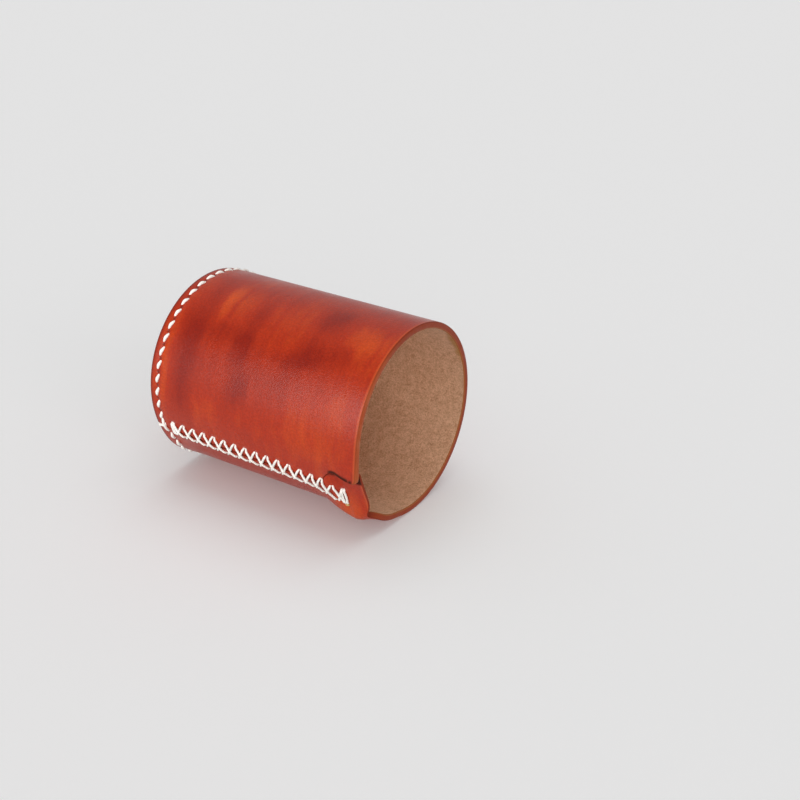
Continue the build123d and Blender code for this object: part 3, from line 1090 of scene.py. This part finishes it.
def make_stitching(thread):
    """Slanted stitches round the wall, level ones right of the seam, and those under the base."""
    outer = [(angle, wall_radius(angle), stitch_rise(angle)) for angle in stitch_angles]
    level = [place for place in outer if 0 < place[0] < climb_end]
    slanted = [place for place in outer if place not in level]
    under = [(angle, under_radius, disc_bottom) for angle in stitch_angles]
    values = thread_values(stitch_thread, 0.12, 7.0, thread)
    values |= {"Stitch length": stitch_length * METRE, "Slant": stitch_slant, "Facing": 0.0}
    under_length = 2 * math.pi * under_radius / stitch_count * under_share * METRE
    rows = (
        ("outer_stitches", slanted, {}),
        ("level_stitches", level, {"Slant": 0.0}),
        ("under_stitches", under, {"Facing": math.pi / 2, "Stitch length": under_length}),
    )
    stitch = stitch_tree()
    parts = [grown(name, ring_of_points(name, places), stitch, values | own) for name, places, own in rows]
    shape = bmesh.new()
    for part in (*parts, make_foot_loop(thread)):
        shape.from_mesh(part)
        bpy.data.meshes.remove(part)
    mesh = bpy.data.meshes.new("cream_base_stitches")
    shape.to_mesh(mesh)
    shape.free()
    mesh.materials.append(thread)
    mesh.polygons.foreach_set("material_index", np.zeros(len(mesh.polygons), np.int32))
    mesh.transform(Matrix.Translation(axis_place))
    return finished(mesh)


# Studio: the cup lies on its side in the picture, on a floor that touches it there
photo_up = Vector((-0.9171, 0.3988, 0.0))
camera_place = Vector((-426.8, -292.0, 400.5))
camera_right = Vector((0.22219, 0.51101, 0.83036))
camera_up = Vector((-0.66880, 0.69962, -0.25159))
camera_forward = Vector((0.70948, 0.49941, -0.49720))
photo_ahead = (camera_forward - photo_up * camera_forward.dot(photo_up)).normalized()
lens = 60.87


def aimed(name, data, place, direction, upright):
    """An object at a place that looks along a direction."""
    back = -direction.normalized()
    across = upright.cross(back).normalized()
    turn = Matrix((across, back.cross(across), back)).transposed().to_4x4()
    thing = new_object(name, data)
    thing.matrix_world = Matrix.Translation(in_frame(place)) @ turn
    return thing


def make_camera():
    data = bpy.data.cameras.new("camera")
    data.lens = lens
    data.sensor_width = 36.0
    data.clip_start = 0.01
    data.clip_end = 50.0
    bpy.context.scene.camera = aimed("camera", data, camera_place, camera_forward, camera_up)


def seen_directly(tree):
    """1 for rays of the camera and for those that mirror or pass through a surface."""
    path = tree.add("ShaderNodeLightPath").node.outputs
    seen = tree.maths("MAXIMUM", path["Is Camera Ray"], path["Is Glossy Ray"])
    return tree.maths("MAXIMUM", seen, path["Is Transmission Ray"])


def make_floor():
    """Pale floor against the cup's side, seen only from the side that the cup is on."""
    mesh = bpy.data.meshes.new("floor")
    mesh.from_pydata([(-4, -4, 0), (4, -4, 0), (4, 4, 0), (-4, 4, 0)], [], [(0, 1, 2, 3)])
    finish, tree = new_finish("pale_floor")
    pale = tree.add("ShaderNodeBsdfDiffuse", {"Color": (0.86, 0.862, 0.868, 1)})
    glow = tree.add("ShaderNodeEmission", {"Color": (0.99, 1.0, 1.0, 1), "Strength": 0.14})
    pale = tree.add("ShaderNodeAddShader", {0: pale, 1: glow})
    clear = tree.add("ShaderNodeBsdfTransparent")
    behind = tree.add("ShaderNodeNewGeometry", output="Backfacing")
    shown = tree.times(seen_directly(tree), tree.minus(1.0, behind))
    mixed = tree.add("ShaderNodeMixShader", {0: shown, 1: clear, 2: pale})
    tree.add("ShaderNodeOutputMaterial", {"Surface": mixed})
    mesh.materials.append(finish)
    middle = photo_up * -(radius + 0.15)
    floor = aimed("floor", mesh, middle, -photo_up, Vector((0, 0, 1)))


def make_world():
    """Even pale surroundings, dimmer from the floor's side; gloss sees them dim behind the camera."""
    world = bpy.data.worlds.new("studio")
    bpy.context.scene.world = world
    tree = emptied(world)
    direction = tree.add("ShaderNodeTexCoord", output="Generated")
    rise = tree.vector("DOT_PRODUCT", direction, tuple(photo_up))
    level = tree.ramp(rise, -0.6, 0.5, 0.30, 0.42)
    light = tree.add("ShaderNodeBackground", {"Color": (1.0, 0.99, 0.98, 1), "Strength": level})
    ahead = tree.vector("DOT_PRODUCT", direction, tuple(photo_ahead))
    dimmed = tree.ramp(ahead, 0.0, 0.7, 0.8, 0.2)
    glossy = tree.add("ShaderNodeLightPath", output="Is Glossy Ray")
    shade = tree.minus(1.0, tree.times(dimmed, glossy))
    backdrop = tree.add("ShaderNodeBackground", {"Color": (0.72, 0.725, 0.735, 1), "Strength": shade})
    mixed = tree.add("ShaderNodeMixShader", {0: seen_directly(tree), 1: light, 2: backdrop})
    tree.add("ShaderNodeOutputWorld", {"Surface": mixed})


def from_photo(rise, across, ahead):
    """A direction given by the picture's upright, right and depth."""
    return (photo_up * rise + camera_right * across + photo_ahead * ahead).normalized()


def make_sun(name, energy, spread, towards):
    light = bpy.data.lights.new(name, "SUN")
    light.energy = energy
    light.angle = math.radians(spread)
    lamp = aimed(name, light, towards * 900, -towards, camera_forward)
    lamp.visible_glossy = False


def make_lights(cup):
    make_sun("overhead", 0.75, 55, from_photo(0.95, 0.1, 0.2))
    make_sun("front_fill", 1.3, 70, from_photo(0.1, 0.35, -0.93))
    window = bpy.data.lights.new("side_window", "AREA")
    window.shape = "SQUARE"
    window.size = 0.44
    window.energy = 2.5
    direction = from_photo(0.32, -0.68, -0.56)
    lamp = aimed("side_window", window, direction * 650 + Vector((0, 0, 99)), -direction, photo_up)
    lamp.light_linking.receiver_collection = cup


bpy.context.scene.view_settings.view_transform = "Standard"
make_camera()
make_floor()
make_world()

leather_finishes = (make_polished(), make_flesh(), make_burnished())
cream_thread = make_thread_finish()

wall = make_wall(leather_finishes)
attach(wall, "root")
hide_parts("wall_sheet")

disc = make_disc(leather_finishes)
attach(disc, "root")
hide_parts("base_disc")

lacing = make_lacing(cream_thread)
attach(lacing, "root")
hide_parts("seam_lacing")

stitching = make_stitching(cream_thread)
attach(stitching, "root")
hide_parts("base_stitching")

cup = bpy.data.collections.new("cup")
for piece in (wall, disc, lacing, stitching):
    cup.objects.link(piece)
make_lights(cup)
